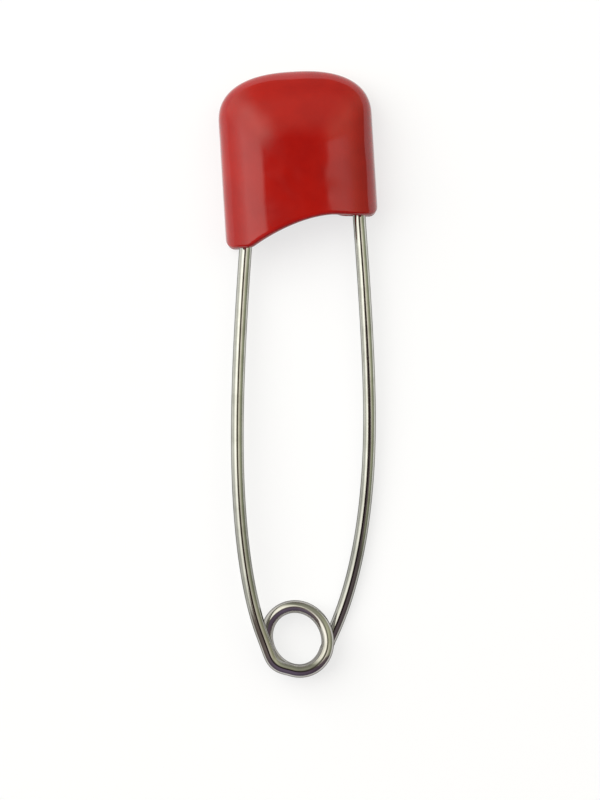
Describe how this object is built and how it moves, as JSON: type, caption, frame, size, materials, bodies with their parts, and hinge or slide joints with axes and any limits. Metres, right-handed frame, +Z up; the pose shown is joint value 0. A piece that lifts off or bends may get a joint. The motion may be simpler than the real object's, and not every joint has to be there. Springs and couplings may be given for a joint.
{
  "type": "safety pin",
  "caption": "Nappy safety pin with a moulded red plastic head over a folded metal guard, a bowed steel wire and one open spring coil.",
  "frame": {"origin": "middle of the pin's box, on the surface that it lies on", "axes": "+Y from the coil to the head, +X towards the fixed arm, +Z up out of the domed front of the head, with the pin lying on its back"},
  "size_m": [0.011, 0.042, 0.0044],
  "materials": {
    "moulded_red_plastic": "glossy moulded plastic with a slight orange peel",
    "nickel_plated_wire": "bright nickel plate on drawn wire",
    "nickel_plated_sheet": "satin nickel plate on stamped sheet"
  },
  "bodies": {
    "frame": {"head_cap": "moulded_red_plastic", "clasp_guard": "nickel_plated_sheet", "spine_arm": "nickel_plated_wire", "spring_coil": "nickel_plated_wire"},
    "pin": {"pin_arm": "nickel_plated_wire"}
  },
  "joints": [
    {"name": "pin_arm_swing", "type": "hinge", "parent": "frame", "child": "pin", "pos_m": [-0.00001, -0.01834, 0.0014], "axis": [0, 0, 1], "range_deg": [-3, 45], "deforming": ["spring_coil"]}
  ]
}
